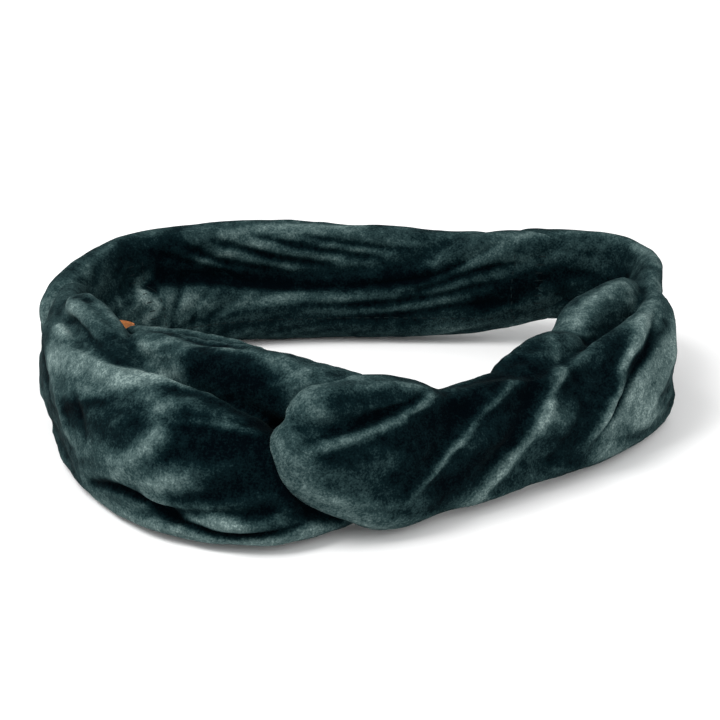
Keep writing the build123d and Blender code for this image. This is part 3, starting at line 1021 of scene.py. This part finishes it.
def long_seam(name, guide, reach, tree):
    """Closing seam along a tube's inner face: stitches of equal length with small gaps."""
    line, along = smooth_rows(guide, SEAM_GUIDE_SPACING)
    forward = unit(np.gradient(line, axis=0))
    runs = []
    for first in np.arange(reach[0], reach[1] - SEAM_STITCH, SEAM_PITCH):
        steps = np.linspace(first, first + SEAM_STITCH, THREAD_STEPS)
        x, y = (np.interp(steps, along, line[:, i]) for i in (0, 1))
        ahead_x, ahead_y = (np.interp(first, along, forward[:, i]) for i in (0, 1))
        inward = unit(np.array([ahead_y, -ahead_x, 0.0]))
        inward *= -np.sign(inward[0] * x[0] + inward[1] * y[0])
        places = np.stack([x, y, np.full(THREAD_STEPS, SEAM_LEVEL)], axis=1)
        run = laid_stitch(tree, places, inward)
        if run:
            runs.append(run)
    return threads_object(name, runs)


def elastic_strip(name):
    """Flat corded elastic that follows the casing, lifted with it at the right end."""
    line, along = smooth_rows(NAPE_GUIDE, ELASTIC_SPACING)
    keep = (along > ELASTIC_SETBACK) & (along < along[-1] - ELASTIC_SETBACK)
    line, along = line[keep], along[keep]
    forward = unit(np.gradient(line, axis=0))
    side = np.stack([forward[:, 1], -forward[:, 0]], axis=1)
    up = np.linspace(0, 1, ELASTIC_CORDS * CORD_POINTS + 1)
    half = ELASTIC_THICKNESS / 2 - CORD_GROOVE * (1 - np.abs(np.sin(pi * ELASTIC_CORDS * up)))
    offset = np.concatenate([half, -half[::-1]])
    height = np.concatenate([up, up[::-1]]) * ELASTIC_WIDTH
    side *= np.sign(np.sum(side * line, axis=1, keepdims=True))
    line = line - ELASTIC_INSET * side
    near_end = np.clip(1 - along / ELASTIC_LIFT_REACH, 0, 1)
    bottoms = ELASTIC_BOTTOM + ELASTIC_LIFT * near_end**ELASTIC_LIFT_POWER
    verts = []
    for (x, y), (side_x, side_y), bottom in zip(line, side, bottoms):
        for w, h in zip(offset, height):
            verts.append(((x + side_x * w) * MM, (y + side_y * w) * MM, (bottom + h) * MM))
    piece = new_object(name, verts, tube_faces(len(line), len(offset)))
    piece.data.shade_smooth()
    return piece


def label_place(along, across, up):
    """Place in mm of a point of the label from its own length, thickness and height."""
    turn = radians(LABEL_TURN)
    curl = LABEL_CURL * sin(pi * along / LABEL_LENGTH) * (up - LABEL_BOTTOM) / LABEL_HEIGHT
    across = across + curl + LABEL_BEND * (along / LABEL_LENGTH) ** BEND_POWER
    up = up - LABEL_SAG * (along / LABEL_LENGTH) ** SAG_POWER
    x = LABEL_PIVOT[0] + along * cos(turn) - across * sin(turn)
    y = LABEL_PIVOT[1] + along * sin(turn) + across * cos(turn)
    return x, y, up


def leather_label(name):
    """Strip of leather folded in two, with rounded edges and a slight curl."""
    middle = LABEL_GAP / 2 + LABEL_SKIN / 2
    fold = LABEL_LENGTH - middle
    path = [(s, middle) for s in np.linspace(LABEL_START, fold, LABEL_STEPS)]
    for turn in np.linspace(0, pi, LABEL_FOLD_STEPS)[1:-1]:
        path.append((fold + middle * sin(turn), middle * cos(turn)))
    path += [(s, -middle) for s in np.linspace(fold, LABEL_START, LABEL_STEPS)]
    levels = np.linspace(LABEL_BOTTOM, LABEL_BOTTOM + LABEL_HEIGHT, LABEL_ROWS)
    verts = [Vector(label_place(s, w, level)) * MM for level in levels for s, w in path]
    faces = []
    for row in range(len(levels) - 1):
        for i in range(len(path) - 1):
            low, high = row * len(path), (row + 1) * len(path)
            faces.append((low + i, low + i + 1, high + i + 1, high + i))
    piece = new_object(name, verts, faces)
    skin = piece.modifiers.new("skin", "SOLIDIFY")
    skin.thickness = LABEL_SKIN * MM
    skin.offset = 0
    edges = piece.modifiers.new("edges", "BEVEL")
    edges.width = LABEL_ROUNDING * MM
    edges.segments = 2
    edges.limit_method = "ANGLE"
    apply_modifiers(piece)
    piece.data.shade_smooth()
    return piece


def label_threads(name):
    """Two columns of stitches through the label's cut ends, one on each face."""
    runs = []
    face = LABEL_GAP / 2 + LABEL_SKIN
    lowest = LABEL_BOTTOM + LABEL_STITCH_MARGIN
    highest = LABEL_BOTTOM + LABEL_HEIGHT - LABEL_STITCH / 2
    for side in (1, -1):
        for level in np.arange(lowest, highest, LABEL_STITCH_PITCH):
            run = []
            for share in np.linspace(-1, 1, THREAD_STEPS):
                across = side * (face + LABEL_STITCH_LIFT - LABEL_STITCH_DIP * share**END_POWER)
                run.append(label_place(LABEL_SEAM_INSET, across, level + LABEL_STITCH / 2 * share))
            runs.append(run)
    return threads_object(name, runs)


def finish_piece(piece, material, nodes):
    """Gives a piece its material and hides the CAD nodes that it stands for."""
    piece.data.materials.clear()
    piece.data.materials.append(material)
    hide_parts(*nodes)


velvet = velvet_material()
thread = thread_material()
leather = leather_material()

# Velvet
left_strand = velvet_piece("left_strand_velvet", LEFT_ROLLS, LEFT_GUIDE, LEFT_FOLDS, LEFT_STROKES, 3)
finish_piece(left_strand, velvet, ["left_strand"])
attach(left_strand, "left_half")

right_strand = velvet_piece("right_strand_velvet", RIGHT_ROLLS, RIGHT_GUIDE, RIGHT_FOLDS, RIGHT_STROKES, 11)
finish_piece(right_strand, velvet, ["right_strand"])
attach(right_strand, "right_half")

nape_casing = velvet_piece("nape_casing_velvet", NAPE_ROLLS, NAPE_GUIDE, NAPE_FOLDS, NAPE_STROKES, 23)
finish_piece(nape_casing, velvet, ["nape_casing"])
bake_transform(nape_casing)

# Threads, elastic and label
all_velvet = surface_tree([left_strand, right_strand, nape_casing])

for side, body in (("left", "left_half"), ("right", "right_half")):
    join = stitches_from(f"{side}_join_stitches", f"{side}_join_threads", all_velvet)
    finish_piece(join, thread, [f"{side}_join_stitches"])
    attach(join, body)

left_seam = long_seam("left_seam_threads", LEFT_GUIDE, LEFT_SEAM_RANGE, all_velvet)
finish_piece(left_seam, thread, ["left_long_seam"])
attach(left_seam, "left_half")

right_seam = long_seam("right_seam_threads", RIGHT_GUIDE, RIGHT_SEAM_RANGE, all_velvet)
finish_piece(right_seam, thread, ["right_long_seam"])
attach(right_seam, "right_half")

casing_seam = long_seam("casing_seam_threads", NAPE_GUIDE, CASING_SEAM_RANGE, all_velvet)
finish_piece(casing_seam, thread, ["casing_long_seam"])
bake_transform(casing_seam)

for side in ("left", "right"):
    anchor = stitches_from(f"{side}_anchor_stitches", f"{side}_anchor_threads", all_velvet)
    finish_piece(anchor, thread, [f"{side}_anchor_stitches"])
    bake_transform(anchor)

elastic = elastic_strip("nape_elastic_strip")
finish_piece(elastic, elastic_material(), ["nape_elastic"])
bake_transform(elastic)

label = leather_label("label_leather_tab")
finish_piece(label, leather, ["label"])
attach(label, "label_tab")

label_seam = label_threads("label_threads")
finish_piece(label_seam, thread, ["label_stitches"])
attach(label_seam, "label_tab")

# Floor, light and camera
floor = new_object("floor", [(-4, -4, 0), (4, -4, 0), (4, 4, 0), (-4, 4, 0)], [(0, 1, 2, 3)])
paper, _, paper_shader, _ = base_material("paper")
paper_shader.inputs["Base Color"].default_value = (0.93, 0.93, 0.93, 1)
paper_shader.inputs["Roughness"].default_value = 0.9
floor.data.materials.append(paper)


def area_light(name, place, target, size, watts):
    """Square soft light that faces a target."""
    lamp = bpy.data.lights.new(name, "AREA")
    lamp.size = size
    lamp.energy = watts
    light = bpy.data.objects.new(name, lamp)
    light.location = place
    light.rotation_euler = (Vector(target) - Vector(place)).to_track_quat("-Z", "Y").to_euler()
    bpy.context.scene.collection.objects.link(light)


area_light("key", place=(-0.55, -0.25, 0.95), target=(0, 0, 0.02), size=0.55, watts=9)
area_light("fill", place=(0.7, -0.7, 0.6), target=(0, 0, 0.02), size=0.9, watts=3)

bpy.context.scene.view_settings.view_transform = "Standard"
world = bpy.data.worlds.new("studio")
world.use_nodes = True
world.node_tree.nodes["Background"].inputs["Color"].default_value = (1, 1, 1, 1)
world.node_tree.nodes["Background"].inputs["Strength"].default_value = 0.9
bpy.context.scene.world = world

TARGET = (0, -0.011, 0)
DISTANCE = 0.55
ELEVATION = radians(25)
AIM_ABOVE_TARGET = radians(2.78)
lens = bpy.data.cameras.new("camera")
lens.lens = 82.5
lens.sensor_width = 36
lens.clip_start = 0.01
camera = bpy.data.objects.new("camera", lens)
camera.location = (
    TARGET[0],
    TARGET[1] - DISTANCE * cos(ELEVATION),
    TARGET[2] + DISTANCE * sin(ELEVATION),
)
camera.rotation_euler = (radians(90) - ELEVATION + AIM_ABOVE_TARGET, 0, 0)
bpy.context.scene.collection.objects.link(camera)
bpy.context.scene.camera = camera
